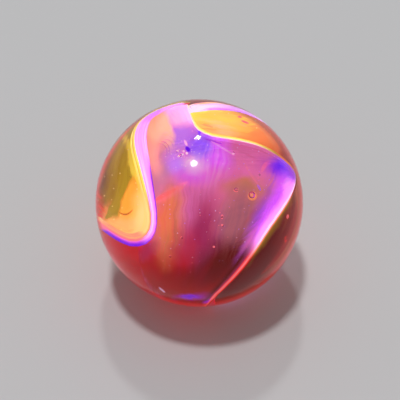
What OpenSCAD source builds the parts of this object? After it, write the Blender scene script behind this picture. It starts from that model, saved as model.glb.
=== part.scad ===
// Glass marble: a ball of see-through amber-red glass with three laminated sheets of milky white
// and yellow glass folded into it. Millimetres, +Z up, origin at the centre of the ball.

/* [Ball] */
// Diameter of the marble
ball_d = 25; // [24:0.5:35]

/* [Swirl] */
// How far the swirl's poles lean over towards -Y, in degrees
lean_forward = 27; // [0:1:45]
// How far the swirl's poles lean over towards -X, in degrees
lean_left = 6; // [0:1:30]
// Depth to which the sheets stand square to the surface
skin = 0.2; // [0.1:0.05:0.4]
// How far the left sheet reaches in from the surface
left_reach = 4.2; // [3:0.1:4.6]
// How far the right sheet reaches in from the surface
right_reach = 5; // [4.5:0.5:6]
// How far the back sheet reaches in from the surface
back_reach = 6; // [5:0.5:7]
// How slowly the left and back sheets dive: below 1 they leave the surface steeply
side_dive = 0.7; // [0.6:0.05:0.9]
// How slowly the right sheet, the floor of the window, dives
window_dive = 0.9; // [0.8:0.05:1.1]

/* [Bands at the surface] */
// Width of the left sheet's white band where it is widest
left_band_w = 2.4; // [1.5:0.1:3]
// Width of the right sheet's white band where it is widest
right_band_w = 1.6; // [0.8:0.1:2]
// Width of the back sheet's white band where it is widest
back_band_w = 3; // [2:0.1:3.1]
// Width of the yellow line beside each white band
yellow_line_w = 0.6; // [0.3:0.05:0.8]

/* [Thickness of the glass layers] */
// Milky white glass, deep inside
white_t = 0.4; // [0.2:0.05:0.45]
// Yellow glass, deep inside
yellow_t = 0.3; // [0.2:0.05:0.35]

/* [Air seeds] */
// Diameter of the largest air seed
seed_d = 0.8; // [0.4:0.1:1.2]

/* [Hidden] */

ball_r = ball_d / 2;
// The sheets are made this much too wide at the surface, and trimmed with the ball
overshoot = 0.03 * ball_r;
// Rows of points along a sheet for each of its stations, and the last column of points across it
rows_per_station = 2;
last_column = 6;
$fn = 96;

// Each sheet is set out by stations from the upper pole to the lower one. A station holds
// [outer latitude, outer longitude, inner latitude, inner longitude, share of the reach,
//  share of the band's width, share of the yellow line's width], in degrees about the swirl's poles.
left_stations = [
    [86, 165, 85, 90, 0.3, 0.1, 0.3],
    [79, 178, 77, 110, 0.4, 0.5, 0.4],
    [72, -178, 69, 118, 0.55, 0.75, 0.6],
    [66, -174, 62, 124, 0.7, 0.8, 0.7],
    [61, -166, 56, 129, 0.8, 0.8, 0.8],
    [56, -154, 51, 132, 0.9, 0.78, 1.0],
    [49, -140, 45, 135, 1.0, 0.7, 1.2],
    [40, -127, 38, 136, 1.0, 0.6, 1.2],
    [32, -120, 33, 137, 1.0, 0.48, 1.0],
    [23, -115, 29, 138, 1.0, 0.38, 0.9],
    [13, -112, 26, 139, 1.0, 0.3, 0.9],
    [5, -113, 23, 141, 1.0, 0.3, 0.9],
    [0, -118, 21, 143, 1.0, 0.35, 0.8],
    [-2, -127, 18, 145, 1.0, 0.38, 0.8],
    [0, -140, 15, 146, 1.0, 0.4, 0.8],
    [1, -155, 10, 146, 0.95, 0.4, 0.8],
    [-3, -172, 3, 143, 0.9, 0.4, 0.8],
    [-13, 172, -8, 133, 0.9, 0.45, 0.8],
    [-34, 150, -30, 108, 0.9, 0.5, 1.0],
    [-58, 140, -55, 88, 0.8, 0.6, 1.0],
    [-76, 140, -76, 80, 0.5, 0.5, 0.8],
    [-86, 120, -86, 60, 0.3, 0.3, 0.4]
];
right_stations = [
    [86, -106, 85, -146, 0.2, 0.2, 0.15],
    [79, -93, 76, 176, 0.46, 0.3, 0.2],
    [72, -87, 69, 168, 0.64, 0.3, 0.3],
    [65, -84, 62, 168, 0.76, 0.25, 0.5],
    [59, -80, 55, 176, 0.88, 0.25, 0.7],
    [53, -69, 50, -168, 0.95, 0.25, 0.8],
    [48, -53, 46, -156, 1.0, 0.3, 0.8],
    [41, -37, 40, -145, 1.0, 0.3, 0.7],
    [33, -26, 34, -142, 1.0, 0.3, 0.7],
    [24, -17, 28, -139, 1.0, 0.3, 0.6],
    [18, -12, 22, -137, 1.0, 0.3, 0.6],
    [14, -14, 18, -136, 1.0, 0.35, 0.6],
    [10, -23, 13, -135, 1.0, 0.7, 0.6],
    [5, -35, 6, -135, 1.0, 1.0, 0.7],
    [-2, -47, -1, -137, 1.0, 1.0, 0.8],
    [-11, -56, -10, -140, 1.1, 0.85, 0.8],
    [-24, -67, -23, -146, 1.1, 0.6, 0.7],
    [-40, -80, -39, -154, 1.0, 0.4, 0.6],
    [-58, -90, -56, -162, 0.8, 0.35, 0.6],
    [-75, -98, -74, -170, 0.5, 0.35, 0.6],
    [-86, -104, -85, -165, 0.25, 0.3, 0.4]
];
back_stations = [
    [74, -79, 75, -126, 0.62, 0.6, 0.2],
    [74, -64, 70, -120, 0.66, 0.75, 0.5],
    [73, -44, 65, -110, 0.7, 0.9, 0.6],
    [68, -22, 60, -93, 0.75, 0.9, 0.6],
    [61, -7, 55, -70, 0.8, 0.65, 0.6],
    [50, 3, 47, -46, 0.85, 0.5, 0.6],
    [36, 16, 36, -30, 0.95, 0.45, 0.8],
    [22, 32, 24, -24, 1.0, 0.4, 1.0],
    [6, 46, 8, -22, 1.0, 0.4, 1.0],
    [-12, 50, -10, -28, 1.0, 0.4, 1.0],
    [-30, 44, -28, -44, 0.9, 0.4, 1.0],
    [-50, 34, -46, -66, 0.75, 0.45, 1.0],
    [-68, 26, -64, -76, 0.6, 0.45, 1.0],
    [-79, 20, -76, -72, 0.4, 0.4, 0.8],
    [-86, 10, -85, -60, 0.25, 0.3, 0.4]
];

// Air seeds: [latitude, longitude, distance from the ball's centre as a share of its radius,
//             share of the largest diameter]
seeds = [
    [17, -54, 0.92, 1.0],
    [22, -63, 0.92, 0.5],
    [9, -74, 0.93, 0.3],
    [4, -74, 0.93, 0.25],
    [-1, -97, 0.88, 0.25],
    [-12, -105, 0.9, 0.3],
    [-8, -80, 0.92, 0.2],
    [42, -56, 0.93, 0.25],
    [26, -45, 0.94, 0.25],
    [45, -96, 0.93, 0.4],
    [47, -99, 0.94, 0.25],
    [31, -131, 0.95, 0.25],
    [34, -2, 0.93, 0.3],
    [-15, -31, 0.93, 0.3],
    [4, 100, 0.9, 0.6],
    [-24, 82, 0.88, 0.4],
    [30, 85, 0.9, 0.4]
];

// Plain vector helpers
function unit(v) = v / norm(v);
function direction(lat, lon) = [cos(lat) * cos(lon), cos(lat) * sin(lon), sin(lat)];

// A smooth curve through a list of rows, read at s, where whole numbers are the rows themselves
function curve(a, b, c, d, t) =
    0.5 * (2 * b + (c - a) * t + (2 * a - 5 * b + 4 * c - d) * t * t
           + (3 * b - a - 3 * c + d) * t * t * t);
function read_at(rows, s) =
    let (last = len(rows) - 1, i = min(floor(s), last - 1))
    curve(rows[max(i - 1, 0)], rows[i], rows[i + 1], rows[min(i + 2, last)], s - i);

// Stations with their angles turned into directions, so that the curve runs evenly past a pole:
// [outer x, y, z, inner x, y, z, reach, band width, line width]
function prepared(stations, reach, band_w) = [
    for (s = stations)
        concat(direction(s[0], s[1]), direction(s[2], s[3]),
               [s[4] * reach, s[5] * band_w, s[6] * yellow_line_w])
];

// The middle surface of a sheet, as rows of points from the outer edge to the inner edge. Its first
// two points stand square to the ball's surface, one outside it and one inside. From there it dives,
// and the smaller the dive value, the steeper it leaves the surface and the flatter its inner edge.
function sheet_point(row, k, dive) =
    let (f = max(k - 1, 0) / (last_column - 1),
         outer = unit([row[0], row[1], row[2]]),
         inner = unit([row[3], row[4], row[5]]))
    unit(outer * (1 - f) + inner * f)
    * (k == 0 ? ball_r + overshoot : ball_r - skin - row[6] * pow(f, dive));
function middle(rows, dive) = [
    for (row = rows) [for (k = [0:last_column]) sheet_point(row, k, dive)]
];

// Directions along a sheet, and square to it on its outward side
function along(grid, i, k) =
    unit(grid[min(i + 1, len(grid) - 1)][k] - grid[max(i - 1, 0)][k]);
function outward(grid, i, k) =
    unit(cross(grid[i][min(k + 1, last_column)] - grid[i][max(k - 1, 0)], along(grid, i, k)));

// Away from the outer edge, no point of a sheet lies nearer to the surface than the skin
function under_skin(p) = norm(p) > ball_r - skin ? unit(p) * (ball_r - skin) : p;

// One face of a sheet: side is 1 for the outward face and -1 for the inward one. At the outer edge
// the glass spreads sideways along the surface, by its width there.
function face_point(grid, i, k, side, edge_w, deep_t) =
    let (p = grid[i][k],
         f = (k - 1) / (last_column - 1),
         t = edge_w * pow(1 - f, 2) / 2 + deep_t)
    k < 2
        ? unit(grid[i][0] + side * edge_w * unit(cross(along(grid, i, 0), p))) * norm(p)
        : under_skin(p + side * t * outward(grid, i, k));
function face(grid, side, edge_widths, deep_t) = [
    for (i = [0:len(grid) - 1])
        [for (k = [0:last_column]) face_point(grid, i, k, side, edge_widths[i], deep_t)]
];

// A closed solid from a stack of faces, outward face first. Its own faces are the first and the last
// of the stack, and the edges of all of them, so that solids that share a face meet exactly.
module fill_between(faces) {
    rows = len(faces[0]);
    columns = last_column + 1;
    layers = len(faces);
    function at(l, i, k) = (l * rows + i) * columns + k;
    function tiles(a, b, c, d) = [[a, b, c], [a, c, d]];
    outward_side = [for (i = [0:rows - 2]) for (k = [0:columns - 2])
        each tiles(at(0, i, k), at(0, i + 1, k), at(0, i + 1, k + 1), at(0, i, k + 1))];
    inward_side = [for (i = [0:rows - 2]) for (k = [0:columns - 2]) let (l = layers - 1)
        each tiles(at(l, i, k), at(l, i, k + 1), at(l, i + 1, k + 1), at(l, i + 1, k))];
    outer_edge = [for (l = [0:layers - 2]) for (i = [0:rows - 2])
        each tiles(at(l, i, 0), at(l + 1, i, 0), at(l + 1, i + 1, 0), at(l, i + 1, 0))];
    inner_edge = [for (l = [0:layers - 2]) for (i = [0:rows - 2]) let (k = columns - 1)
        each tiles(at(l, i, k), at(l, i + 1, k), at(l + 1, i + 1, k), at(l + 1, i, k))];
    upper_end = [for (l = [0:layers - 2]) for (k = [0:columns - 2])
        each tiles(at(l, 0, k), at(l, 0, k + 1), at(l + 1, 0, k + 1), at(l + 1, 0, k))];
    lower_end = [for (l = [0:layers - 2]) for (k = [0:columns - 2]) let (i = rows - 1)
        each tiles(at(l, i, k), at(l + 1, i, k), at(l + 1, i, k + 1), at(l, i, k + 1))];
    polyhedron([for (f = faces) for (row = f) each row],
               concat(outward_side, inward_side, outer_edge, inner_edge, upper_end, lower_end),
               convexity = 6);
}

// The rows of one sheet, read often enough for a smooth form
function sheet_rows(stations, reach, band_w) =
    let (rows = prepared(stations, reach, band_w))
    [for (i = [0:(len(stations) - 1) * rows_per_station]) read_at(rows, i / rows_per_station)];

left_rows = sheet_rows(left_stations, left_reach, left_band_w);
right_rows = sheet_rows(right_stations, right_reach, right_band_w);
back_rows = sheet_rows(back_stations, back_reach, back_band_w);
left_middle = middle(left_rows, side_dive);
right_middle = middle(right_rows, window_dive);
back_middle = middle(back_rows, side_dive);

// Widths along a sheet's outer edge: of its white band, and of its yellow line
function band_widths(rows) = [for (row = rows) row[7]];
function line_widths(rows) = [for (row = rows) row[8]];

// The white glass lines the clear window, so it lies inward on the left and back sheets and
// outward on the right one. The yellow glass is on the other face.
left_white = face(left_middle, -1, band_widths(left_rows), white_t);
left_yellow = face(left_middle, 1, line_widths(left_rows), yellow_t);
right_white = face(right_middle, 1, band_widths(right_rows), white_t);
right_yellow = face(right_middle, -1, line_widths(right_rows), yellow_t);
back_white = face(back_middle, -1, band_widths(back_rows), white_t);
back_yellow = face(back_middle, 1, line_widths(back_rows), yellow_t);

// Everything in the swirl leans over with its poles
module leaning() {
    rotate([-lean_forward, -lean_left, 0])
        children();
}

module ball() {
    sphere(r = ball_r);
}

// One layer of a sheet, trimmed flush with the surface of the ball
module layer(outward_face, inward_face) {
    intersection() {
        ball();
        leaning()
            fill_between([outward_face, inward_face]);
    }
}

module air_seeds() {
    for (s = seeds)
        translate(direction(s[0], s[1]) * ball_r * s[2])
            sphere(d = seed_d * s[3]);
}

module base_glass() {
    color([0.85, 0.16, 0.06, 0.45])
        difference() {
            ball();
            leaning() {
                fill_between([left_yellow, left_middle, left_white]);
                fill_between([right_white, right_middle, right_yellow]);
                fill_between([back_yellow, back_middle, back_white]);
                air_seeds();
            }
        }
}

module left_ribbon() {
    color([0.95, 0.68, 0.95])
        layer(left_middle, left_white);
}

module left_lining() {
    color([1.0, 0.75, 0.25])
        layer(left_yellow, left_middle);
}

module right_ribbon() {
    color([0.80, 0.50, 0.98])
        layer(right_white, right_middle);
}

module right_lining() {
    color([1.0, 0.85, 0.35])
        layer(right_middle, right_yellow);
}

module back_ribbon() {
    color([0.93, 0.75, 0.98])
        layer(back_middle, back_white);
}

module back_lining() {
    color([1.0, 0.72, 0.25])
        layer(back_yellow, back_middle);
}

base_glass();
left_ribbon();
left_lining();
right_ribbon();
right_lining();
back_ribbon();
back_lining();
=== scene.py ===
"""Looks of the glass marble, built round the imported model."""

import math

import bmesh
import bpy
import numpy as np
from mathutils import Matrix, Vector
from mathutils.bvhtree import BVHTree


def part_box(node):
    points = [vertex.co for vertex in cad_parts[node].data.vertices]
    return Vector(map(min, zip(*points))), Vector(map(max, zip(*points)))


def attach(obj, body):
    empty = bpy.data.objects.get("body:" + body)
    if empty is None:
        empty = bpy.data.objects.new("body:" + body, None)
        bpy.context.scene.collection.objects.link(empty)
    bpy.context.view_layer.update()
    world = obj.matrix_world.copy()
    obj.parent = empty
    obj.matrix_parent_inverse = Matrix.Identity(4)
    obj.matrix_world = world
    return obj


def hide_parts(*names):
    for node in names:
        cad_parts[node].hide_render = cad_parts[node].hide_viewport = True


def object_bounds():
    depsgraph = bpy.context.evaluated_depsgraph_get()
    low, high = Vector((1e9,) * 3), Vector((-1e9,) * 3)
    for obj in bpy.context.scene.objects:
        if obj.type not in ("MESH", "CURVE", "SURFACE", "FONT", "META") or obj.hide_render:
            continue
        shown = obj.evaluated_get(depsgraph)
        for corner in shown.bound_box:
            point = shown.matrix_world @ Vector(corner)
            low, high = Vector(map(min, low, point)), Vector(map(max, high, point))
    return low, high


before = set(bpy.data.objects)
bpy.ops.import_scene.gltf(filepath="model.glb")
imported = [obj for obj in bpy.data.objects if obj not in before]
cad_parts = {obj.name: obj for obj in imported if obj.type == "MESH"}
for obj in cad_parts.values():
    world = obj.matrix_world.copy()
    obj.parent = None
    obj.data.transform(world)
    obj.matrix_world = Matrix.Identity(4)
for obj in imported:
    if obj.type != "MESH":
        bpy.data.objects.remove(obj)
CAD_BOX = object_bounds()

# ---- Sizes, in metres. The ball's radius comes from the frame ----
MM = 0.001
BALL_R = (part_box("base_glass")[1].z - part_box("base_glass")[0].z) / 2
CLEAR_R = min(abs(side) for corner in CAD_BOX for side in corner)
SKIN = 0.05 * MM  # the clear glass left over the sheets
SURFACE_BAND = 0.03 * MM  # how near the ball's surface a face on it lies
FUSED = 0.1 * MM  # how near its partner a face fused to it lies
MERGE = 0.002 * MM  # points nearer than this are one point
AIR_SEED_MAX = 1.3 * MM  # the widest hollow that is an air seed
TINY = 1e-9

# ---- How finely the shapes are made, and which edges stay sharp ----
BALL_FINENESS = 7
SEED_FINENESS = 4
BACK_SEED_FINENESS = 3
SHEET_LEVELS = 2
SHARP_EDGE = math.radians(35)
FLAT_FACE = math.radians(30)
FLAT_SHAPE = math.radians(60)

# ---- The view: from the front and above, through a long lens ----
VIEW_ELEVATION = math.radians(45)
FRAME_PIXELS = 400
BALL_PIXELS = 104.0
BALL_CENTRE_PIXELS = (199.3, 203.0)
LENS_MM = 100
SENSOR_MM = 36
FOCAL_PIXELS = LENS_MM / SENSOR_MM * FRAME_PIXELS
EYE_DISTANCE = 1 / math.sin(math.atan(BALL_PIXELS / FOCAL_PIXELS))
NEAREST_SEEN = 1 * MM
BEND_STEPS = 26  # halvings that find where a bent ray leaves the ball
TOWARD_EYE = Vector((0, -math.cos(VIEW_ELEVATION), math.sin(VIEW_ELEVATION)))
UPWARD = Vector((0, math.sin(VIEW_ELEVATION), math.cos(VIEW_ELEVATION)))
RIGHTWARD = Vector((1, 0, 0))

# ---- The amber-red glass, and the faint smears that dull its polish here and there ----
GLASS_IOR = 1.5
GLASS_TINT = (0.937, 0.224, 0.07, 1)
GLASS_DENSITY = 240
GLASS_SHEEN = (0.5, 0.5, 0.5, 1)
GLASS_DIMS = [GLASS_DENSITY * (1 - c) for c in GLASS_TINT[:3]]
SMEAR_SCALE = 300
SMEAR_DETAIL = 1
SMEAR_RANGE = (0.3, 0.8)
SMEAR_ROUGHNESS = (0.06, 0.11)

# ---- The milky and yellow glass of the sheets ----
# Painted light: the sheets glow in their own colour, though they are no lamp
PAINTED_GLOW = 0.72
SHEET_ROUGHNESS = 0.5
AMBER_SHARE = 1.2  # how much of what the amber glass takes away is made up for
BRIGHTEST = 0.95
BRIGHTEST_PAINTED_GLOW = 2.5
WANDER_SCALE = 4.0  # how the edges of the colours wander
WANDER_DETAIL = 3.0
WANDER_REACH = 0.12
LINE_DETAIL = 2.0  # the fine lines where the glass was pulled
LINE_ROUGHNESS = 0.6
COMB_STRETCH = 2.0  # the streaks that lie all one way
COMB_DETAIL = 3.0
COMB_RANGE = (0.4, 0.62)
LEAST_BODY = 0.01  # how thin a stroke's tips are, as a share of its width
# How soft the inner border of the painted glow at the ball's edge is
EDGE_GLOW_SOFTNESS = 0.02
DUST_SOFTNESS = 0.8
SPECK_SOFTNESS = 0.6
STROKE_SOFTNESS = 0.9
# Depths, in millimetres, at which the paint near the surface passes into the glass below
WINDOW_SURFACE = (0.1, 0.7)
POCKET_SURFACE = (0.35, 0.5)
BAND_SURFACE = (0.5, 1.2)

# ---- Where the front ends: a point's height towards the eye, as a share of the radius ----
FRONT_ENDS = (-0.45, -0.1)
FAR_SIDE_STARTS = (0.12, -0.15)
# On the far side, how fine each set of streaks is and how much it wanders
FAR_STREAKS = ((0.8, 45), (2.5, 90))
FAR_STREAK_RANGE = (0.42, 0.6)
FAR_STREAK_STRENGTH = 0.85

# ---- The studio. Each lamp has the way to it, its angle across in degrees, its strength ----
LAMPS = [
    ("overhead", (-0.09, -0.03, 0.995), 5.5, 1.25),
    ("second", (-0.02, 0.5, 0.86), 4.5, 0.48),
]
ROOM_LIGHT = 0.3
FLOOR_HALF = 1.5
FLOOR_GREY = (0.6, 0.6, 0.61, 1)
FLOOR_ROUGHNESS = 0.8
FLOOR_SHEEN = 0.1

# Air seeds in the clear glass of the far side: the way to each, in degrees round from the front
# and up, then its depth below the surface and its radius, in millimetres
BACK_SEEDS = [
    (186, 22, 1.7, 0.40), (181, 27, 1.2, 0.16), (192, 12, 2.4, 0.22), (197, 2, 1.4, 0.30),
    (176, 6, 2.8, 0.18), (201, 9, 1.2, 0.13), (170, 16, 1.6, 0.26), (189, -9, 1.5, 0.24),
    (164, -4, 1.8, 0.14), (203, -12, 1.3, 0.17), (178, -17, 2.0, 0.30), (212, 6, 1.1, 0.15),
]

# Narrow slits that are closed by easing a sheet over. Each has its place on the front, its
# reach, and the way over, as shares of the radius. The window's floor meets the S band at the
# top, and the top band starts at the bright line.
MEETS_S_BAND = [((-0.4, 0.87), 0.077, (-0.02, 0.04)), ((-0.26, 0.91), 0.077, (-0.02, 0.04))]
MEETS_LINE = [((-0.06, 0.92), 0.067, (-0.05, 0.0))]
SLIT_FADES = 3  # the reaches past which nothing moves


def linear(r, g, b):
    """A colour given as it looks, from 0 to 255, as the shader wants it."""
    def channel(c):
        c /= 255
        return c / 12.92 if c <= 0.04045 else ((c + 0.055) / 1.055) ** 2.4
    return (channel(r), channel(g), channel(b), 1)


PALETTE = {
    "milk": linear(255, 225, 250),
    "blush": linear(255, 185, 245),
    "pink": linear(255, 150, 250),
    "orchid": linear(205, 85, 250),
    "lilac": linear(145, 88, 255),
    "haze": linear(178, 122, 255),
    "halo": linear(228, 200, 255),
    "violet": linear(100, 12, 235),
    "purple": linear(150, 17, 190),
    "plum": linear(148, 40, 88),
    "mauve": linear(200, 100, 158),
    "dusk": linear(150, 88, 105),
    "rose": linear(199, 108, 105),
    "pewter": linear(172, 122, 160),
    "peach": linear(255, 205, 165),
    "honey": linear(254, 186, 112),
    "cream": linear(255, 225, 150),
    "lemon": linear(255, 228, 85),
    "straw": linear(254, 212, 107),
    "tangerine": linear(252, 172, 62),
    "apricot": linear(240, 150, 88),
    "amber": linear(211, 106, 49),
    "copper": linear(215, 122, 68),
    "bronze": linear(165, 112, 72),
    "olive": linear(168, 142, 36),
    "moss": linear(136, 97, 14),
    "umber": linear(110, 55, 8),
    "coral": linear(250, 120, 130),
    "flame": linear(225, 45, 25),
    "scarlet": linear(200, 10, 5),
    "crimson": linear(226, 6, 50),
    "wine": linear(168, 4, 26),
    "oxblood": linear(135, 0, 0),
    "garnet": linear(88, 0, 0),
}


def link(obj):
    """Puts an object in the scene."""
    bpy.context.scene.collection.objects.link(obj)
    return obj


def finished_mesh(bm, name):
    """Makes an object of a bmesh, which is used up."""
    mesh = bpy.data.meshes.new(name)
    bm.to_mesh(mesh)
    bm.free()
    return link(bpy.data.objects.new(name, mesh))


def set_camera():
    """A long lens at the height of someone who looks down at the marble."""
    camera = link(bpy.data.objects.new("camera", bpy.data.cameras.new("camera")))
    camera.data.lens = LENS_MM
    camera.data.sensor_width = SENSOR_MM
    camera.data.clip_start = NEAREST_SEEN
    metres_a_pixel = EYE_DISTANCE * BALL_R / FOCAL_PIXELS
    off_x = (FRAME_PIXELS / 2 - BALL_CENTRE_PIXELS[0]) * metres_a_pixel
    off_y = (BALL_CENTRE_PIXELS[1] - FRAME_PIXELS / 2) * metres_a_pixel
    aim = RIGHTWARD * off_x + UPWARD * off_y
    camera.location = aim + TOWARD_EYE * EYE_DISTANCE * BALL_R
    camera.rotation_euler = (aim - camera.location).to_track_quat("-Z", "Y").to_euler()
    bpy.context.scene.camera = camera


# ---- Places on the front of the ball ----

def front_places(points):
    """Where points in the glass appear on the ball's front, which is a disc of radius 1.

    The glass bends the light, so a point shows further from the middle than it is. The answer
    holds the place to the right, the place upwards, and the point's own height towards the eye.
    """
    p = points / BALL_R
    height = p @ np.array(TOWARD_EYE)
    right = p @ np.array(RIGHTWARD)
    rise = p @ np.array(UPWARD)
    aside = np.maximum(np.hypot(right, rise), TINY)
    low = np.zeros(len(p))
    high = np.full(len(p), math.acos(1 / EYE_DISTANCE))
    for _ in range(BEND_STEPS):
        turn = (low + high) / 2
        s, c = np.sin(turn), np.cos(turn)
        meets = turn + np.arctan2(s, EYE_DISTANCE - c)
        bent = np.arcsin(np.minimum(np.sin(meets) / GLASS_IOR, 1)) - turn
        inside = (aside - s) * np.cos(bent) + (height - c) * np.sin(bent) > 0
        low = np.where(inside, turn, low)
        high = np.where(inside, high, turn)
    out = s / (EYE_DISTANCE - c) * FOCAL_PIXELS / BALL_PIXELS
    return np.stack([right / aside * out, rise / aside * out, height], axis=1)


# ---- Paint: node groups, and a stack of them on a piece of glass ----
# A long stack of paint has to fit what the renderer can hold at once. It would hold the unused
# parts of a split vector for the whole stack, so places are read with dot products instead.

VECTOR, NUMBER, COLOUR = "NodeSocketVector", "NodeSocketFloat", "NodeSocketColor"


def group(name, inputs, outputs):
    """A node group with these sockets, and the nodes that stand for them inside it."""
    g = bpy.data.node_groups.new(name, "ShaderNodeTree")
    for label, kind in inputs.items():
        g.interface.new_socket(label, in_out="INPUT", socket_type=kind)
    for label, kind in outputs.items():
        g.interface.new_socket(label, in_out="OUTPUT", socket_type=kind)
    return g, g.nodes.new("NodeGroupInput"), g.nodes.new("NodeGroupOutput")


def feed(tree, socket, value):
    """Links another socket to this one, or gives it a plain value."""
    if isinstance(value, bpy.types.NodeSocket):
        tree.links.new(value, socket)
    else:
        socket.default_value = value


def math_node(tree, operation, *values):
    """A Math node, fed by sockets or plain numbers. Returns its output."""
    n = tree.nodes.new("ShaderNodeMath")
    n.operation = operation
    for socket, value in zip(n.inputs, values):
        feed(tree, socket, value)
    return n.outputs[0]


def vector_node(tree, operation, *values):
    n = tree.nodes.new("ShaderNodeVectorMath")
    n.operation = operation
    for socket, value in zip(n.inputs, values):
        feed(tree, socket, value)
    return n.outputs["Value" if operation in ("LENGTH", "DOT_PRODUCT") else "Vector"]


def smooth_step(tree, value, low, high):
    """1 below low, 0 above high, with a soft passage between."""
    n = tree.nodes.new("ShaderNodeMapRange")
    n.interpolation_type = "SMOOTHSTEP"
    n.clamp = False
    for label, v in (("Value", value), ("From Min", low), ("From Max", high),
                     ("To Min", 1), ("To Max", 0)):
        feed(tree, n.inputs[label], v)
    return n.outputs["Result"]


def noise_node(tree, scale, detail):
    n = tree.nodes.new("ShaderNodeTexNoise")
    feed(tree, n.inputs["Scale"], scale)
    n.inputs["Detail"].default_value = detail
    return n


def soft_edge(tree, reach, softness):
    """The mask of a shape from its reach, which is 1 on its edge, with a soft edge."""
    half = math_node(tree, "MULTIPLY", softness, 0.5)
    return smooth_step(tree, reach, math_node(tree, "SUBTRACT", 1.0, half),
                       math_node(tree, "ADD", 1.0, half))


def build_pool():
    """A soft oval of colour in the glass: its mask. Along and Aside are the oval's two axes,
    each divided by its own half length."""
    g, i, o = group("pool", {
        "Place": VECTOR, "Centre": VECTOR, "Along": VECTOR, "Aside": VECTOR,
        "Softness": NUMBER, "Strength": NUMBER}, {"Mask": NUMBER})
    away = vector_node(g, "SUBTRACT", i.outputs["Place"], i.outputs["Centre"])
    x = vector_node(g, "DOT_PRODUCT", away, i.outputs["Along"])
    y = vector_node(g, "DOT_PRODUCT", away, i.outputs["Aside"])
    r = math_node(g, "SQRT", math_node(
        g, "ADD", math_node(g, "MULTIPLY", x, x), math_node(g, "MULTIPLY", y, y)))
    mask = soft_edge(g, r, i.outputs["Softness"])
    g.links.new(math_node(g, "MULTIPLY", mask, i.outputs["Strength"]), o.inputs["Mask"])
    return g


def build_stroke():
    """A thin bowed line drawn through the glass: its mask. It tapers at both ends. Along runs
    from 0 at the start to 1 at the end, and Aside is across it."""
    g, i, o = group("stroke", {
        "Place": VECTOR, "Start": VECTOR, "Along": VECTOR, "Aside": VECTOR,
        "Bow": NUMBER, "Half Width": NUMBER, "Softness": NUMBER, "Strength": NUMBER},
        {"Mask": NUMBER})
    away = vector_node(g, "SUBTRACT", i.outputs["Place"], i.outputs["Start"])
    t = vector_node(g, "DOT_PRODUCT", away, i.outputs["Along"])
    aside = vector_node(g, "DOT_PRODUCT", away, i.outputs["Aside"])
    arch = math_node(g, "MULTIPLY", t, math_node(g, "SUBTRACT", 1.0, t))
    arch = math_node(g, "MULTIPLY", arch, 4.0)  # 0 at both ends and 1 halfway
    line = math_node(g, "MULTIPLY", arch, i.outputs["Bow"])
    off = math_node(g, "ABSOLUTE", math_node(g, "SUBTRACT", aside, line))
    body = math_node(g, "SQRT", math_node(g, "MAXIMUM", arch, 0.0))
    wide = math_node(g, "MULTIPLY", i.outputs["Half Width"],
                     math_node(g, "MAXIMUM", body, LEAST_BODY))
    r = math_node(g, "DIVIDE", off, wide)
    mask = soft_edge(g, r, i.outputs["Softness"])
    inside = math_node(g, "GREATER_THAN", arch, 0.0)
    mask = math_node(g, "MULTIPLY", mask, inside)
    g.links.new(math_node(g, "MULTIPLY", mask, i.outputs["Strength"]), o.inputs["Mask"])
    return g


def build_pulled_lines():
    """Fine lines where the glass was pulled out: the mask of a noise that changes fast across a
    sheet and slowly along it."""
    g, i, o = group("pulled_lines", {
        "Object Place": VECTOR, "Across": NUMBER, "Fineness": NUMBER, "Wander": NUMBER,
        "Start": NUMBER, "Full": NUMBER}, {"Mask": NUMBER})
    ratio = math_node(g, "DIVIDE", i.outputs["Fineness"], i.outputs["Wander"])
    across = math_node(g, "MULTIPLY", i.outputs["Across"], ratio)
    n = noise_node(g, i.outputs["Wander"], LINE_DETAIL)
    n.noise_dimensions = "4D"
    n.inputs["Roughness"].default_value = LINE_ROUGHNESS
    g.links.new(i.outputs["Object Place"], n.inputs["Vector"])
    g.links.new(across, n.inputs["W"])
    mask = smooth_step(g, n.outputs["Fac"], i.outputs["Start"], i.outputs["Full"])
    g.links.new(math_node(g, "SUBTRACT", 1.0, mask), o.inputs["Mask"])
    return g


def build_combed():
    """Fine streaks all one way, as if the glass was combed: their mask."""
    g, i, o = group(
        "combed", {"Place": VECTOR, "Turn": NUMBER, "Fineness": NUMBER}, {"Mask": NUMBER})
    rot = g.nodes.new("ShaderNodeVectorRotate")
    rot.rotation_type = "Z_AXIS"
    g.links.new(i.outputs["Place"], rot.inputs["Vector"])
    g.links.new(math_node(g, "MULTIPLY", i.outputs["Turn"], -1.0), rot.inputs["Angle"])
    grain = g.nodes.new("ShaderNodeCombineXYZ")
    grain.inputs[0].default_value = COMB_STRETCH
    g.links.new(i.outputs["Fineness"], grain.inputs[1])
    stretched = vector_node(g, "MULTIPLY", rot.outputs[0], grain.outputs[0])
    n = noise_node(g, 1.0, COMB_DETAIL)
    g.links.new(stretched, n.inputs["Vector"])
    mask = math_node(g, "SUBTRACT", 1.0, smooth_step(g, n.outputs["Fac"], *COMB_RANGE))
    g.links.new(mask, o.inputs["Mask"])
    return g


def build_specks():
    """Bright dust in the glass: the mask of small dots, some of them left out."""
    g, i, o = group("specks", {
        "Place": VECTOR, "Fineness": NUMBER, "Size": NUMBER, "Chance": NUMBER},
        {"Mask": NUMBER})
    n = g.nodes.new("ShaderNodeTexVoronoi")
    n.voronoi_dimensions = "2D"
    g.links.new(i.outputs["Place"], n.inputs["Vector"])
    g.links.new(i.outputs["Fineness"], n.inputs["Scale"])
    first_die = vector_node(g, "DOT_PRODUCT", n.outputs["Color"], (1, 0, 0))
    second_die = vector_node(g, "DOT_PRODUCT", n.outputs["Color"], (0, 1, 0))
    kept = math_node(g, "LESS_THAN", first_die, i.outputs["Chance"])
    # The dots are from half to one and a half times the given size
    size = math_node(g, "MULTIPLY", i.outputs["Size"], math_node(g, "ADD", second_die, 0.5))
    dot = smooth_step(g, n.outputs["Distance"], math_node(g, "MULTIPLY", size, 0.5), size)
    g.links.new(math_node(g, "MULTIPLY", kept, dot), o.inputs["Mask"])
    return g


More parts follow.
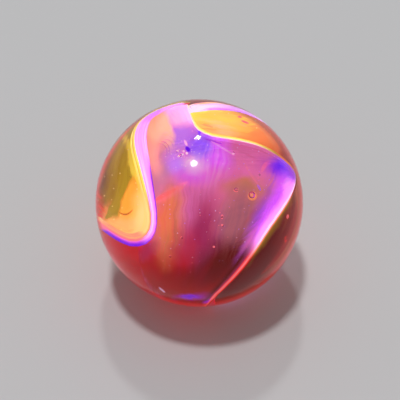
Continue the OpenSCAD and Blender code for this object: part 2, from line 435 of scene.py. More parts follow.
def build_through_amber():
    """Strengthens a colour by what the amber-red glass above it takes away, up to a limit: once for
    the glass's own colour, and once, with a higher limit, for its painted glow.
    """
    g, i, o = group(
        "through_amber", {"Color": COLOUR, "Depth": NUMBER, "Share": NUMBER},
        {"Color": COLOUR, "Painted Glow": COLOUR})
    part = g.nodes.new("ShaderNodeSeparateXYZ")
    g.links.new(i.outputs["Color"], part.inputs[0])
    joins = [g.nodes.new("ShaderNodeCombineXYZ") for _ in range(2)]
    depth = math_node(g, "MULTIPLY", i.outputs["Depth"], i.outputs["Share"])
    for k, dims in enumerate(GLASS_DIMS):
        gain = math_node(g, "EXPONENT", math_node(g, "MULTIPLY", depth, dims))
        lit = math_node(g, "MULTIPLY", part.outputs[k], gain)
        for join, most in zip(joins, (BRIGHTEST, BRIGHTEST_PAINTED_GLOW)):
            g.links.new(math_node(g, "MINIMUM", lit, most), join.inputs[k])
    g.links.new(joins[0].outputs[0], o.inputs["Color"])
    g.links.new(joins[1].outputs[0], o.inputs["Painted Glow"])
    return g


POOL = build_pool()
STROKE = build_stroke()
PULLED_LINES = build_pulled_lines()
COMBED = build_combed()
SPECKS = build_specks()
THROUGH_AMBER = build_through_amber()


class Paint:
    """A material for one layer of a sheet, built up from its ground colour to its fine lines."""

    def __init__(self, name, ground):
        self.material = bpy.data.materials.new(name)
        self.material.use_nodes = True
        self.tree = self.material.node_tree
        self.sharp_place = self.attribute("front_place", "Vector")
        rough = noise_node(self.tree, WANDER_SCALE, WANDER_DETAIL)
        self.tree.links.new(self.sharp_place, rough.inputs["Vector"])
        wander = vector_node(self.tree, "SUBTRACT", rough.outputs["Color"], (0.5, 0.5, 0.5))
        wander = vector_node(self.tree, "MULTIPLY", wander, (WANDER_REACH, WANDER_REACH, 0))
        self.place = vector_node(self.tree, "ADD", self.sharp_place, wander)
        coords = self.tree.nodes.new("ShaderNodeTexCoord")
        self.object_place = coords.outputs["Object"]
        away = vector_node(self.tree, "LENGTH", self.object_place)
        below = math_node(self.tree, "SUBTRACT", BALL_R, away)
        self.depth = math_node(self.tree, "MAXIMUM", below, 0.0)
        self.depth_mm = math_node(self.tree, "MULTIPLY", self.depth, 1 / MM)
        self.share = self.attribute("across", "Fac")
        self.near_mm = self.attribute("from_partner", "Fac")
        rgb = self.tree.nodes.new("ShaderNodeRGB")
        rgb.outputs[0].default_value = PALETTE[ground]
        self.colour = rgb.outputs[0]

    def attribute(self, name, socket):
        n = self.tree.nodes.new("ShaderNodeAttribute")
        n.attribute_name = name
        return n.outputs[socket]

    def use(self, group_tree, inputs):
        """Adds a node group, fed by sockets or plain values. Returns its outputs."""
        n = self.tree.nodes.new("ShaderNodeGroup")
        n.node_tree = group_tree
        for label, value in inputs.items():
            feed(self.tree, n.inputs[label], value)
        return n.outputs

    def lay(self, mask, colour):
        """Lays a palette colour, or another socket's colour, over what is there."""
        mix = self.tree.nodes.new("ShaderNodeMix")
        mix.data_type = "RGBA"
        top = PALETTE[colour] if isinstance(colour, str) else colour
        for label, value in (("Factor", mask), ("A", self.colour), ("B", top)):
            feed(self.tree, mix.inputs[label], value)
        self.colour = mix.outputs["Result"]

    def both(self, mask, other):
        """The part of one mask that is in another."""
        return math_node(self.tree, "MULTIPLY", mask, other)

    def shallow(self, whole, none):
        """The glass near the surface: all of it down to one depth, and none below the other."""
        return smooth_step(self.tree, self.depth_mm, whole, none)

    def deep(self, none, whole):
        """The glass away from the surface: none of it down to one depth, all below the other."""
        return math_node(self.tree, "SUBTRACT", 1.0, self.shallow(none, whole))

    def oval(self, place, centre, size, turn, soft, strength):
        """The mask of an oval. Its turn is in degrees, up to the right."""
        c, s = math.cos(math.radians(turn)), math.sin(math.radians(turn))
        return self.use(POOL, {
            "Place": place, "Centre": (*centre, 0.0), "Along": (c / size[0], s / size[0], 0.0),
            "Aside": (-s / size[1], c / size[1], 0.0), "Softness": soft,
            "Strength": strength})["Mask"]

    def pool_mask(self, centre, size, turn, soft, strength=1.0):
        return self.oval(self.place, centre, size, turn, soft, strength)

    def pool(self, colour, centre, size, turn, soft, strength):
        self.lay(self.pool_mask(centre, size, turn, soft, strength), colour)

    def speck(self, colour, centre, size, turn):
        self.lay(self.oval(self.sharp_place, centre, size, turn, SPECK_SOFTNESS, 1.0), colour)

    def combed(self, colour, centre, size, turn, fineness, soft, strength):
        """Streaks in an oval, along its length."""
        lines = self.use(COMBED, {
            "Place": self.place, "Turn": math.radians(turn), "Fineness": fineness})["Mask"]
        oval = self.pool_mask(centre, size, turn, soft, strength)
        self.lay(self.both(lines, oval), colour)

    def dust(self, colour, centre, size, fineness, dot, chance, strength):
        """Bright specks scattered in an oval."""
        dots = self.use(SPECKS, {
            "Place": self.sharp_place, "Fineness": fineness, "Size": dot,
            "Chance": chance})["Mask"]
        oval = self.pool_mask(centre, size, 0, DUST_SOFTNESS, strength)
        self.lay(self.both(dots, oval), colour)

    def height(self):
        """How far a point is towards the eye, as a share of the ball's radius."""
        return vector_node(self.tree, "DOT_PRODUCT", self.sharp_place, (0, 0, 1))

    def in_front(self):
        far = smooth_step(self.tree, self.height(), *FRONT_ENDS)
        return math_node(self.tree, "SUBTRACT", 1.0, far)

    def past_edge(self):
        near, far = FAR_SIDE_STARTS
        return smooth_step(self.tree, self.height(), far, near)

    def behind(self, colour, streak, second):
        """The side that faces away: one colour with pulled streaks of two others."""
        away = math_node(self.tree, "SUBTRACT", 1.0, self.in_front())
        self.lay(away, colour)
        for tint, (fineness, wander) in zip((streak, second), FAR_STREAKS):
            lines = self.lines(self.depth_mm, fineness, wander, *FAR_STREAK_RANGE,
                               FAR_STREAK_STRENGTH)
            self.lay(self.both(self.past_edge(), lines), tint)

    def painted_edge_glow(self, colour, inner, strength, within=None):
        """A painted glow that gathers towards the edge of the ball, standing in for light that comes
        in there from behind.
        """
        flat = vector_node(self.tree, "MULTIPLY", self.sharp_place, (1, 1, 0))
        out = vector_node(self.tree, "LENGTH", flat)
        inside = smooth_step(self.tree, out, inner - EDGE_GLOW_SOFTNESS, inner + EDGE_GLOW_SOFTNESS)
        mask = math_node(self.tree, "SUBTRACT", 1.0, inside)
        mask = self.both(self.both(mask, strength), self.in_front())
        if within is not None:
            mask = self.both(mask, within)
        self.lay(mask, colour)

    def stroke(self, colour, start, end, width, bow, soft, strength):
        """A thin line. Its bow is how far it bends out halfway, to the left as it runs."""
        dx, dy = end[0] - start[0], end[1] - start[1]
        length = math.hypot(dx, dy)
        mask = self.use(STROKE, {
            "Place": self.sharp_place, "Start": (*start, 0.0),
            "Along": (dx / length ** 2, dy / length ** 2, 0.0),
            "Aside": (-dy / length, dx / length, 0.0),
            "Bow": bow, "Half Width": width, "Softness": soft, "Strength": strength})
        self.lay(mask["Mask"], colour)

    def ramp(self, value, stops):
        """Palette colours that pass into one another as a value grows."""
        n = self.tree.nodes.new("ShaderNodeValToRGB")
        n.color_ramp.interpolation = "B_SPLINE" if len(stops) > 3 else "EASE"
        e = n.color_ramp.elements
        while len(e) < len(stops):
            e.new(0.5)
        for k, (at, colour) in enumerate(stops):
            e[k].position = at
            e[k].color = PALETTE[colour]
        self.tree.links.new(value, n.inputs[0])
        return n.outputs[0]

    def lines(self, value, fineness, wander, start, full, strength):
        """Pulled lines that follow a value, such as the depth or the share across a sheet."""
        mask = self.use(PULLED_LINES, {
            "Object Place": self.object_place, "Across": value, "Fineness": fineness,
            "Wander": wander, "Start": start, "Full": full})["Mask"]
        return self.both(mask, strength)

    def finish(self):
        """The same colour is the glass's own and a faint painted glow, so that the sheets give off
        light though they are no lamp.
        """
        lit = self.use(THROUGH_AMBER, {
            "Color": self.colour, "Depth": self.depth, "Share": AMBER_SHARE})
        shader = self.tree.nodes["Principled BSDF"]
        self.tree.links.new(lit["Color"], shader.inputs["Base Color"])
        self.tree.links.new(lit["Painted Glow"], shader.inputs["Emission Color"])
        shader.inputs["Emission Strength"].default_value = PAINTED_GLOW
        shader.inputs["Roughness"].default_value = SHEET_ROUGHNESS
        shader.inputs["Specular IOR Level"].default_value = 0
        return self.material


# ---- Pieces ----

def merged_copy(node):
    """A copy of a node's mesh, with its triangles joined at their points."""
    bm = bmesh.new()
    bm.from_mesh(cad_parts[node].data)
    bmesh.ops.remove_doubles(bm, verts=bm.verts, dist=MERGE)
    return bm


def search_tree(bm, keep=None):
    """A tree that finds the nearest of a mesh's faces, or of those that are kept."""
    points = [v.co.copy() for v in bm.verts]
    bm.verts.index_update()
    faces = [[v.index for v in f.verts] for f in bm.faces if keep is None or keep(f)]
    return BVHTree.FromPolygons(points, faces)


def on_surface(f):
    return all(v.co.length > BALL_R - SURFACE_BAND for v in f.verts)


def smooth_copy(node):
    """The node's solid, rounded from its flat facets, with its real edges kept."""
    bm = merged_copy(node)
    bmesh.ops.join_triangles(bm, faces=bm.faces, angle_face_threshold=FLAT_FACE,
                             angle_shape_threshold=FLAT_SHAPE)
    bmesh.ops.recalc_face_normals(bm, faces=bm.faces)
    crease = bm.edges.layers.float.new("crease_edge")
    for e in bm.edges:
        if len(e.link_faces) == 2 and e.calc_face_angle() > SHARP_EDGE:
            e[crease] = 1.0
    obj = finished_mesh(bm, node + "_cage")
    mod = obj.modifiers.new("rounded", "SUBSURF")
    mod.levels = mod.render_levels = SHEET_LEVELS
    graph = bpy.context.evaluated_depsgraph_get()
    mesh = bpy.data.meshes.new_from_object(obj.evaluated_get(graph))
    bpy.data.objects.remove(obj)
    return mesh


def close_up(bm, place, reach, way):
    """Eases the glass near a place on the front over by a small way, to close a narrow slit."""
    points = np.array([v.co for v in bm.verts])
    seen = front_places(points)
    for v, (x, y, height) in zip(bm.verts, seen):
        off = math.hypot(x - place[0], y - place[1]) / reach
        if off < SLIT_FADES and height > 0:
            v.co += (RIGHTWARD * way[0] + UPWARD * way[1]) * BALL_R * math.exp(-off * off)


def sheet_layer(node, partner, name, material, slits=()):
    """One glass of a sheet, just under the skin. It carries what its paint reads: each point's
    place on the front, its share of the way from the partner to the far face, and how far it is
    from the partner in millimetres."""
    mesh = smooth_copy(node)
    bm = bmesh.new()
    bm.from_mesh(mesh)
    for place, reach, way in slits:
        close_up(bm, place, reach, way)
    for v in bm.verts:
        if v.co.length > BALL_R - SKIN:
            v.co *= (BALL_R - SKIN) / v.co.length
    for f in bm.faces:
        f.smooth = True
    for e in bm.edges:
        e.smooth = len(e.link_faces) != 2 or e.calc_face_angle() < SHARP_EDGE
    bpy.data.meshes.remove(mesh)
    obj = finished_mesh(bm, name)
    mesh = obj.data

    mate = merged_copy(partner)
    mate_tree = search_tree(mate)
    mate.free()
    own = merged_copy(node)
    far_tree = search_tree(own, lambda f: not on_surface(f) and
                           mate_tree.find_nearest(f.calc_center_median())[3] > FUSED)
    own.free()
    near = [mate_tree.find_nearest(v.co)[3] for v in mesh.vertices]
    far = [far_tree.find_nearest(v.co)[3] for v in mesh.vertices]
    share = [n / max(n + f, TINY) for n, f in zip(near, far)]
    points = np.empty(len(mesh.vertices) * 3)
    mesh.vertices.foreach_get("co", points)
    places = front_places(points.reshape(-1, 3)).ravel()
    mesh.attributes.new("front_place", "FLOAT_VECTOR", "POINT").data.foreach_set("vector", places)
    mesh.attributes.new("across", "FLOAT", "POINT").data.foreach_set("value", share)
    near_mm = [n / MM for n in near]
    mesh.attributes.new("from_partner", "FLOAT", "POINT").data.foreach_set("value", near_mm)

    mesh.materials.append(material)
    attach(obj, "root")
    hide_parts(node)


def islands(bm):
    """The separate closed surfaces of a mesh, as lists of points, in the mesh's own order."""
    found = []
    seen = set()
    for first in bm.verts:
        if first in seen:
            continue
        seen.add(first)
        island = [first]
        for v in island:  # the list grows as it is walked
            for e in v.link_edges:
                w = e.other_vert(v)
                if w not in seen:
                    seen.add(w)
                    island.append(w)
        found.append(island)
    return found


def clear_glass():
    """Clear amber-red glass that takes colour out of the light on its way through."""
    material = bpy.data.materials.new("clear_amber_red_glass")
    material.use_nodes = True
    tree = material.node_tree
    shader = tree.nodes["Principled BSDF"]
    shader.inputs["Base Color"].default_value = (1, 1, 1, 1)
    shader.inputs["Transmission Weight"].default_value = 1
    shader.inputs["IOR"].default_value = GLASS_IOR
    shader.inputs["Specular Tint"].default_value = GLASS_SHEEN
    absorber = tree.nodes.new("ShaderNodeVolumeAbsorption")
    absorber.inputs["Color"].default_value = GLASS_TINT
    absorber.inputs["Density"].default_value = GLASS_DENSITY
    tree.links.new(absorber.outputs[0], tree.nodes["Material Output"].inputs["Volume"])
    coords = tree.nodes.new("ShaderNodeTexCoord")
    smear = noise_node(tree, SMEAR_SCALE, SMEAR_DETAIL)
    tree.links.new(coords.outputs["Object"], smear.inputs["Vector"])
    rough = tree.nodes.new("ShaderNodeMapRange")
    for label, value in zip(("From Min", "From Max", "To Min", "To Max"),
                            SMEAR_RANGE + SMEAR_ROUGHNESS):
        rough.inputs[label].default_value = value
    tree.links.new(smear.outputs["Fac"], rough.inputs["Value"])
    tree.links.new(rough.outputs["Result"], shader.inputs["Roughness"])
    return material


def blow_seed(bm, centre, radius, fineness):
    """A small round hollow, whose faces point into it, out of the glass."""
    made = bmesh.ops.create_icosphere(bm, subdivisions=fineness, radius=radius)
    bmesh.ops.translate(bm, verts=made["verts"], vec=centre)
    bmesh.ops.reverse_faces(bm, faces=list({f for v in made["verts"] for f in v.link_faces}))


def blow_ball():
    """The clear ball, with the air seeds as small hollows in it."""
    bm = bmesh.new()
    bmesh.ops.create_icosphere(bm, subdivisions=BALL_FINENESS, radius=CLEAR_R)
    for round_deg, up_deg, depth, radius in BACK_SEEDS:
        round_way, up = math.radians(round_deg), math.radians(up_deg)
        way = Vector((math.sin(round_way) * math.cos(up), -math.cos(round_way) * math.cos(up),
                      math.sin(up)))
        blow_seed(bm, way * (BALL_R - depth * MM), radius * MM, BACK_SEED_FINENESS)
    solid = merged_copy("base_glass")
    for island in islands(solid):
        low = [min(v.co[k] for v in island) for k in range(3)]
        high = [max(v.co[k] for v in island) for k in range(3)]
        if max(h - l for l, h in zip(low, high)) > AIR_SEED_MAX:
            continue
        centre = Vector([(l + h) / 2 for l, h in zip(low, high)])
        blow_seed(bm, centre, (high[2] - low[2]) / 2, SEED_FINENESS)
    solid.free()
    for f in bm.faces:
        f.smooth = True
    obj = finished_mesh(bm, "clear_ball")
    obj.data.materials.append(clear_glass())
    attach(obj, "root")
    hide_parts("base_glass")


def lay_floor():
    """The plain pale floor that the marble rests on."""
    bm = bmesh.new()
    bmesh.ops.create_grid(bm, x_segments=1, y_segments=1, size=FLOOR_HALF)
    bmesh.ops.translate(bm, verts=bm.verts, vec=(0, 0, -BALL_R))
    obj = finished_mesh(bm, "floor")
    material = bpy.data.materials.new("pale_floor")
    material.use_nodes = True
    shader = material.node_tree.nodes["Principled BSDF"]
    shader.inputs["Base Color"].default_value = FLOOR_GREY
    shader.inputs["Roughness"].default_value = FLOOR_ROUGHNESS
    shader.inputs["Specular IOR Level"].default_value = FLOOR_SHEEN
    obj.data.materials.append(material)


def light_studio():
    """A plain white room, with two small lamps for the marble's highlights."""
    world = bpy.data.worlds.new("studio")
    bpy.context.scene.world = world
    world.use_nodes = True
    sky = world.node_tree.nodes["Background"]
    sky.inputs["Color"].default_value = (1, 1, 1, 1)
    sky.inputs["Strength"].default_value = ROOM_LIGHT
    for name, way, angle, strength in LAMPS:
        lamp = bpy.data.lights.new(name, "SUN")
        lamp.angle = math.radians(angle)
        lamp.energy = strength
        placed = link(bpy.data.objects.new(name, lamp))
        placed.location = Vector(way)
        placed.rotation_euler = (-placed.location).to_track_quat("-Z", "Y").to_euler()


# ---- The glass of each layer ----
# Places and sizes are as they appear on the front of the ball, a disc of radius 1: right of its
# middle and up. An oval has its colour, centre, half lengths, turn in degrees, softness and
# strength. A stroke has its colour, start, end, half width, bow, softness and strength. Combed
# streaks have their fineness after the turn, and dust has its fineness, the size of its dots,
# their chance and its strength. Pulled lines have the value that they follow, their fineness and
# wander, the noise at which they start and are full, and their strength. Depths are in millimetres.

def paint_window_floor():
    """The right sheet's white face: the floor of the window, and the wide band at the right."""
    p = Paint("window_milk_glass", "mauve")
    for oval in [
        # Darker red towards the bottom: partly the red glass's own colour, partly painted shade where
        # the light from above falls off
        ("crimson", (-0.78, -0.57), (0.52, 0.35), -25, 1.2, 1),
        ("wine", (-0.38, -0.74), (0.4, 0.25), -25, 1.2, 1),
        ("oxblood", (0.05, -0.86), (0.77, 0.38), 0, 1.2, 1),
        # Violet round the highlights: partly the glass's own violet, partly a painted glow of the lamp
        ("haze", (-0.19, 0.64), (0.15, 0.13), 0, 1.4, 0.9),
        ("blush", (-0.24, 0.9), (0.31, 0.14), -15, 0.8, 1),
        ("peach", (-0.38, 0.7), (0.27, 0.12), -72, 0.5, 1),
        ("pewter", (-0.35, 0.3), (0.28, 0.18), 88, 1.0, 1),
        ("peach", (-0.46, 0.51), (0.19, 0.07), -82, 1.8, 0.6),
        ("mauve", (0.45, 0.45), (0.38, 0.19), -20, 1.2, 1),
        # More violet round the highlights: partly the glass's own, partly a painted glow of the lamp
        ("orchid", (0.15, 0.48), (0.13, 0.22), 0, 1.6, 1),
        ("haze", (-0.22, 0.38), (0.09, 0.12), 15, 1.4, 1),
        ("lilac", (0.01, 0.54), (0.12, 0.11), 0, 1.0, 1),
        ("mauve", (0.05, 0.18), (0.33, 0.12), 5, 1.4, 0.8),
        ("rose", (0.45, 0.07), (0.32, 0.18), 12, 0.25, 1),
        ("bronze", (0.46, 0.17), (0.27, 0.08), 6, 1.5, 0.6),
        ("mauve", (0.03, 0.03), (0.27, 0.25), 0, 1.4, 0.9),
        ("dusk", (0.37, -0.18), (0.19, 0.31), -18, 1.3, 1),
        ("copper", (-0.29, -0.18), (0.35, 0.12), 86, 1.2, 0.9),
        ("plum", (0.05, -0.32), (0.33, 0.14), 88, 1.4, 1),
        # More of the darker red towards the bottom, partly painted shade
        ("wine", (-0.15, -0.47), (0.23, 0.13), 85, 1.4, 0.7),
        ("garnet", (0.24, -0.53), (0.29, 0.15), 30, 1.4, 1),
        ("garnet", (0.05, -0.7), (0.29, 0.1), 0, 1.4, 0.6),
        ("plum", (-0.51, -0.45), (0.13, 0.07), 30, 1.6, 0.7),
    ]:
        p.pool(*oval)
    for colour, start, end, width, bow, strength in [
        # a dark violet line beside the bright line: a fold, with painted shade along it
        ("violet", (-0.12, 0.93), (0, 0.64), 0.023, 0.048, 0.75),
        ("coral", (-0.45, 0), (-0.11, 0.21), 0.035, -0.01, 0.5),
        ("flame", (-0.44, 0.02), (-0.22, 0.14), 0.019, 0, 0.2),
        ("coral", (0.42, 0.42), (0.58, 0.16), 0.008, -0.01, 0.3),
        ("lilac", (0.56, 0.18), (0.59, 0.12), 0.009, 0, 0.8),
        ("coral", (0.6, 0.3), (0.75, 0.4), 0.021, 0.038, 0.6),
        ("coral", (0.78, 0.51), (0.9, 0.38), 0.01, 0.01, 0.4),
        # a small painted reflection low on the left, as a pale streak
        ("halo", (-0.39, -0.81), (-0.33, -0.86), 0.007, 0, 0.8),
        ("dusk", (-0.38, 0.6), (-0.29, 0.48), 0.006, 0.038, 0.5),
        ("dusk", (-0.41, 0.58), (-0.32, 0.45), 0.006, 0.048, 0.4),
        ("dusk", (-0.35, 0.62), (-0.25, 0.51), 0.005, 0.038, 0.4),
        ("dusk", (-0.38, 0.66), (-0.22, 0.51), 0.005, 0.058, 0.3),
    ]:
        p.stroke(colour, start, end, width, bow, STROKE_SOFTNESS, strength)
    p.lay(p.lines(p.depth_mm, 1.6, 110, 0.48, 0.8, 0.25), "wine")
    # A painted glow round the main highlight: violet just under it, and pale lavender over it
    p.pool("orchid", (-0.07, 0.26), (0.16, 0.07), 0, 2.0, 0.6)
    p.pool("halo", (-0.05, 0.38), (0.09, 0.07), 0, 2.0, 0.6)
    p.behind("wine", "plum", "mauve")
    p.combed("bronze", (-0.29, -0.2), (0.35, 0.12), 86, 34, 1.0, 0.35)
    p.combed("plum", (-0.11, -0.16), (0.42, 0.21), 88, 30, 1.4, 0.25)
    # Violet streaks between the highlights, partly a painted glow of the lamp
    p.combed("haze", (-0.09, 0.51), (0.25, 0.21), 40, 24, 1.4, 0.3)
    p.combed("rose", (0.3, -0.14), (0.31, 0.19), 76, 32, 1.4, 0.16)
    p.combed("blush", (0.14, 0.41), (0.21, 0.12), 80, 30, 1.4, 0.2)
    p.pool("violet", (0.62, -0.04), (0.21, 0.06), 60, 1.8, 0.45)
    p.pool("purple", (0.72, 0.32), (0.15, 0.07), -40, 1.8, 0.5)
    p.pool("violet", (0.81, 0.32), (0.13, 0.08), -40, 1.6, 1)
    p.combed("violet", (0.74, 0.26), (0.13, 0.08), 66, 26, 1.2, 0.6)
    # The wide band where the sheet meets the surface, and its thin end lower down
    band = p.ramp(p.share, [(0.0, "coral"), (0.05, "milk"), (0.15, "milk"), (0.28, "pink"),
                            (0.6, "pink"), (0.85, "orchid"), (1.0, "orchid")])
    end = p.ramp(p.share, [(0.0, "coral"), (0.14, "coral"), (0.28, "flame"), (0.45, "plum"),
                           (0.75, "garnet")])
    at_surface = p.shallow(*WINDOW_SURFACE)
    wide_end = p.pool_mask((0.68, -0.11), (0.52, 0.23), 60, 0.6)
    p.lay(p.both(at_surface, wide_end), band)
    p.combed("blush", (0.72, -0.12), (0.33, 0.07), 58, 50, 1.2, 0.25)
    p.pool("orchid", (0.74, 0.05), (0.19, 0.05), 60, 1.8, 0.75)
    p.pool("orchid", (0.8, 0.2), (0.12, 0.07), 66, 1.4, 0.8)
    p.pool("pink", (0.85, 0.14), (0.1, 0.04), 72, 1.4, 0.8)
    p.pool("violet", (0.85, 0.33), (0.1, 0.07), -60, 1.6, 0.5)
    p.pool("purple", (0.9, 0.31), (0.09, 0.05), -60, 1.2, 0.8)
    p.pool("mauve", (0.62, 0.22), (0.12, 0.08), -20, 1.2, 0.7)
    p.pool("mauve", (0.48, -0.39), (0.13, 0.04), 62, 1.6, 0.8)
    low = p.pool_mask((0.22, -0.84), (0.52, 0.21), 50, 0.5)
    p.lay(p.both(at_surface, low), end)
    p.dust("halo", (0.05, 0.12), (0.72, 0.67), 14, 0.06, 0.2, 0.8)
    p.dust("haze", (0.15, 0.12), (0.77, 0.67), 21, 0.09, 0.14, 0.8)
    p.dust("coral", (0.15, -0.12), (0.77, 0.58), 11, 0.05, 0.25, 0.7)
    p.dust("halo", (-0.17, 0.47), (0.17, 0.15), 40, 0.14, 0.25, 0.9)
    # A dark purple wedge under the bright line: a crease, with painted shadow in it
    p.stroke("purple", (0.05, 0.62), (0.22, 0.57), 0.009, 0, 0.9, 0.6)
    p.stroke("blush", (0.11, 0.6), (0.34, 0.46), 0.008, 0, 0.9, 0.35)
    # Painted light at the bottom edge: a violet glow, as of light from a blue surface below
    p.pool("purple", (-0.09, -0.9), (0.12, 0.03), 5, 2.0, 0.7)
    p.pool("violet", (-0.09, -0.9), (0.08, 0.02), 5, 2.0, 0.85)
    p.pool("purple", (0.07, -0.94), (0.04, 0.02), 30, 1.2, 0.8)
    for dot in [
        # small painted highlights beside the main one, with a dark violet mark under one of them
        ("milk", (-0.18, 0.46), (0.03, 0.01), 25),
        ("milk", (-0.21, 0.5), (0.01, 0.01), 0),
        ("milk", (-0.12, 0.48), (0.01, 0.01), 0),
        ("blush", (-0.13, 0.58), (0.03, 0.01), -65),
        ("violet", (-0.11, 0.52), (0.03, 0.02), -50),
        ("blush", (-0.15, 0.5), (0.01, 0.01), 0),
        ("coral", (0.22, -0.13), (0.01, 0.02), 0),
        ("coral", (0.22, -0.21), (0.01, 0.01), 0),
        ("coral", (-0.17, -0.33), (0.01, 0.01), 0),
        ("coral", (-0.28, -0.51), (0.01, 0.01), 0),
        ("coral", (0.14, -0.42), (0.01, 0.01), 0),
        ("blush", (0.33, 0.48), (0.01, 0.01), 0),
        ("apricot", (0.51, 0.07), (0.04, 0.04), 0),
        ("rose", (0.51, 0.07), (0.02, 0.02), 0),
        ("coral", (0.35, 0.12), (0.02, 0.01), -20),
    ]:
        p.speck(*dot)
    # Painted light at the ball's edge: a scarlet glow round the lower part, and a purple glow at the
    # top
    p.painted_edge_glow("scarlet", 0.965, 0.9, p.pool_mask((0.05, -0.57), (1.15, 0.81), 0, 0.4))
    p.painted_edge_glow("purple", 0.972, 0.6, p.pool_mask((-0.2, 0.99), (0.25, 0.13), 0, 0.6))
    return p.finish()


def paint_window_edge_line():
    """The right sheet's yellow face: the bright line below the upper pocket, and the far edge."""
    p = Paint("window_edge_yellow_glass", "oxblood")
    line = p.ramp(p.near_mm, [(0.0, "blush"), (0.16, "cream"), (0.35, "lemon"), (0.6, "apricot")])
    p.lay(p.pool_mask((0.22, 0.76), (0.58, 0.35), -22, 0.3), line)
    p.pool("olive", (0.74, 0.47), (0.15, 0.08), -36, 1.4, 0.8)
    p.pool("amber", (0.83, 0.38), (0.12, 0.06), -42, 1.2, 0.9)
    side = p.ramp(p.near_mm, [(0.0, "coral"), (0.1, "apricot"), (0.22, "moss"), (0.8, "umber")])
    p.lay(p.pool_mask((0.7, -0.22), (0.35, 0.13), 58, 0.5), side)
    low = p.ramp(p.near_mm, [(0.0, "coral"), (0.12, "flame"), (0.35, "oxblood")])
    p.lay(p.pool_mask((0.28, -0.8), (0.38, 0.17), 50, 0.5), low)
    return p.finish()


def paint_s_band():
    """The left sheet's white face: the S band, its dark far edge, and the deep lower run."""
    p = Paint("s_band_milk_glass", "pink")
    band = p.ramp(p.share, [(0.0, "blush"), (0.15, "pink"), (0.35, "milk"), (0.5, "pink"),
                            (0.78, "pink"), (0.9, "orchid"), (1.0, "violet")])
    light = p.ramp(p.share, [(0.0, "pink"), (0.3, "blush"), (0.5, "pink"), (0.75, "blush"),
                             (1.0, "blush")])
    run = p.ramp(p.share, [(0.0, "coral"), (0.26, "coral"), (0.4, "orchid"), (0.62, "purple"),
                           (0.85, "violet"), (1.0, "purple")])
    p.lay(1.0, band)
    p.lay(p.pool_mask((-0.45, 0.78), (0.46, 0.38), 0, 0.8, 1), light)
    p.pool("orchid", (-0.45, 0.87), (0.12, 0.05), 32, 1.2, 0.6)
    p.lay(p.lines(p.share, 9, 90, 0.5, 0.65, 0.45), "orchid")
    p.lay(p.pool_mask((-0.78, -0.36), (0.33, 0.14), -18, 0.9), run)
    p.pool("coral", (-0.96, -0.22), (0.07, 0.04), -20, 0.8, 0.8)
    deep = p.deep(*BAND_SURFACE)
    p.lay(deep, "crimson")
    # Darker red towards the bottom: partly the red glass's own colour, partly painted shade
    p.lay(p.both(deep, p.pool_mask((-0.38, -0.74), (0.4, 0.25), -25, 1.2)), "wine")
    p.lay(p.both(deep, p.lines(p.depth_mm, 1.3, 70, 0.42, 0.62, 0.4)), "wine")
    p.lay(p.both(deep, p.pool_mask((-0.51, -0.45), (0.13, 0.07), 30, 1.6, 0.7)), "plum")
    p.behind("plum", "mauve", "wine")
    # Painted light: a scarlet glow at the ball's edge, round the lower left
    p.painted_edge_glow("scarlet", 0.97, 1.0, p.pool_mask((-0.57, -0.51), (1.06, 0.87), 0, 0.4))
    return p.finish()


def paint_left_pocket():
    """The left sheet's yellow face: the pale double line, and the olive to orange pocket."""
    p = Paint("left_pocket_yellow_glass", "olive")
    for oval in [
        ("tangerine", (-0.58, 0), (0.38, 0.16), 72, 0.25, 1),
        ("honey", (-0.69, -0.24), (0.29, 0.1), -8, 1.0, 1),
        ("cream", (-0.51, -0.04), (0.31, 0.1), 82, 1.8, 0.9),
        ("umber", (-0.98, 0.3), (0.52, 0.12), 85, 1.4, 0.9),
        ("garnet", (-1.04, 0.3), (0.54, 0.12), 85, 1.4, 1),
        ("flame", (-0.97, -0.04), (0.13, 0.05), 80, 1.0, 0.45),
        ("apricot", (-0.91, -0.12), (0.12, 0.04), 68, 1.2, 0.9),
        ("coral", (-0.97, -0.19), (0.08, 0.03), -20, 0.8, 1),
        ("olive", (-0.84, -0.05), (0.13, 0.04), 58, 0.5, 1),
        ("lemon", (-0.64, 0.36), (0.29, 0.03), -75, 1.4, 0.75),
    ]:
        p.pool(*oval)
    hot = p.pool_mask((-0.98, -0.03), (0.17, 0.06), 80, 1.0)
    threads = p.lines(p.depth_mm, 2, 90, 0.4, 0.62, 1)
    p.lay(p.both(hot, threads), "flame")
    line = p.shallow(*POCKET_SURFACE)
    edge = p.ramp(p.near_mm, [(0.0, "cream"), (0.2, "lemon"), (0.32, "olive"), (0.45, "cream"),
                              (0.6, "lemon"), (0.8, "moss")])
    p.lay(line, edge)
    low = p.ramp(p.near_mm, [(0.0, "coral"), (0.2, "honey"), (0.35, "cream"), (0.8, "honey")])
    p.lay(p.both(line, p.pool_mask((-0.67, -0.21), (0.46, 0.29), 0, 0.6)), low)
    base = p.ramp(p.near_mm, [(0.0, "coral"), (0.2, "honey"), (0.35, "coral"), (0.55, "honey")])
    p.lay(p.both(line, p.pool_mask((-0.78, -0.32), (0.31, 0.12), -16, 0.6)), base)
    p.combed("moss", (-0.83, 0.34), (0.48, 0.13), 76, 22, 1.4, 0.3)
    p.dust("cream", (-0.78, 0.17), (0.25, 0.58), 13, 0.08, 0.35, 0.7)
    p.stroke("umber", (-0.78, -0.08), (-0.64, -0.06), 0.008, -0.038, 0.9, 0.7)
    p.lay(p.lines(p.depth_mm, 3, 60, 0.5, 0.75, 0.3), "moss")
    p.behind("amber", "olive", "flame")
    # Painted light: a scarlet glow at the ball's edge, on the left
    p.painted_edge_glow("scarlet", 0.975, 0.9, p.pool_mask((-1.05, 0.08), (0.19, 0.58), 0, 0.6))
    return p.finish()


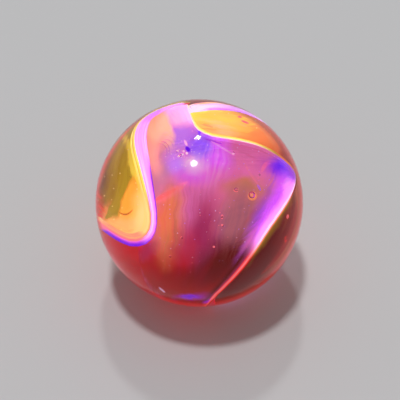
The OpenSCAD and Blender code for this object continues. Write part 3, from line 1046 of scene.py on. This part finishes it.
def paint_top_band():
    """The back sheet's white face: the pale band along the upper right."""
    p = Paint("top_band_milk_glass", "blush")
    p.lay(1.0, p.ramp(p.share, [(0.0, "orchid"), (0.2, "blush"), (0.5, "milk"), (0.78, "blush"),
                                (0.86, "lemon"), (1.0, "honey")]))
    p.pool("milk", (-0.02, 0.92), (0.09, 0.05), 10, 1.2, 1)
    p.pool("honey", (0, 0.97), (0.12, 0.01), 2, 1.2, 0.9)
    p.pool("orchid", (0.39, 0.89), (0.19, 0.06), -12, 1.0, 0.5)
    p.pool("crimson", (0.82, 0.51), (0.23, 0.13), -60, 0.8, 1)
    p.lay(p.lines(p.share, 9, 90, 0.5, 0.65, 0.4), "orchid")
    deep = p.deep(*BAND_SURFACE)
    p.lay(deep, "crimson")
    p.lay(p.both(deep, p.lines(p.depth_mm, 1.5, 60, 0.42, 0.6, 0.8)), "mauve")
    return p.finish()


def paint_upper_pocket():
    """The back sheet's yellow face: the floor of the upper pocket, and the dark lower right, whose
    dark red is partly painted shade.
    """
    p = Paint("upper_pocket_yellow_glass", "garnet")
    for oval in [
        ("flame", (0.81, 0.51), (0.25, 0.12), -50, 1.0, 1),
        ("amber", (0.6, 0.65), (0.31, 0.23), -35, 0.8, 1),
        ("apricot", (0.41, 0.73), (0.33, 0.17), -22, 1.0, 1),
        ("straw", (0.12, 0.81), (0.35, 0.14), -8, 1.0, 1),
        ("peach", (0.17, 0.72), (0.17, 0.06), -16, 1.4, 0.9),
        ("bronze", (0.08, 0.74), (0.09, 0.03), -30, 1.6, 0.5),
        ("oxblood", (0.85, 0.41), (0.13, 0.05), -50, 1.2, 0.8),
        # painted light: a scarlet glow at the ball's edge, up the right
        ("scarlet", (0.91, 0.49), (0.25, 0.08), -60, 0.8, 1),
    ]:
        p.pool(*oval)
    floor = p.pool_mask((0.35, 0.76), (0.54, 0.25), -18, 0.6)
    p.lay(p.both(p.lines(p.depth_mm, 4, 60, 0.5, 0.7, 0.35), floor), "amber")
    p.combed("lemon", (0.22, 0.83), (0.38, 0.12), -6, 34, 1.0, 0.5)
    p.combed("bronze", (0.14, 0.72), (0.25, 0.09), -16, 30, 1.2, 0.35)
    p.dust("cream", (0.39, 0.78), (0.48, 0.19), 15, 0.09, 0.4, 0.7)
    p.pool("moss", (0.71, -0.24), (0.33, 0.03), 55, 1.6, 0.8)
    # Darker still at the lower right: oxblood, partly painted shade
    p.pool("oxblood", (0.88, -0.26), (0.38, 0.09), 72, 1.6, 0.4)
    p.behind("amber", "oxblood", "copper")
    # Painted light at the ball's edge: a darker red band, and a scarlet glow outside it
    p.painted_edge_glow("oxblood", 0.94, 0.6)
    p.painted_edge_glow("scarlet", 0.968, 0.8)
    for dot in [
        ("coral", (0.44, 0.78), (0.04, 0.01), -22),
        ("honey", (0.42, 0.75), (0.04, 0.01), -22),
        ("coral", (0.39, 0.83), (0.02, 0.01), -15),
        ("coral", (0.85, -0.13), (0.01, 0.02), -10),
        ("scarlet", (0.83, -0.35), (0.01, 0.03), 0),
    ]:
        p.speck(*dot)
    # Painted light: a faint scarlet line just inside the edge, running with the painted edge glow
    p.stroke("scarlet", (0.94, 0.03), (0.59, -0.69), 0.023, 0.087, 1.6, 0.25)
    return p.finish()


set_camera()
lay_floor()
light_studio()
blow_ball()
sheet_layer("left_ribbon", "left_lining", "s_band", paint_s_band())
sheet_layer("left_lining", "left_ribbon", "left_pocket", paint_left_pocket())
sheet_layer("right_ribbon", "right_lining", "window_floor", paint_window_floor(), MEETS_S_BAND)
sheet_layer("right_lining", "right_ribbon", "window_edge_line", paint_window_edge_line(), MEETS_S_BAND)
sheet_layer("back_ribbon", "back_lining", "top_band", paint_top_band(), MEETS_LINE)
sheet_layer("back_lining", "back_ribbon", "upper_pocket", paint_upper_pocket(), MEETS_LINE)

bpy.context.scene.view_settings.view_transform = "Standard"
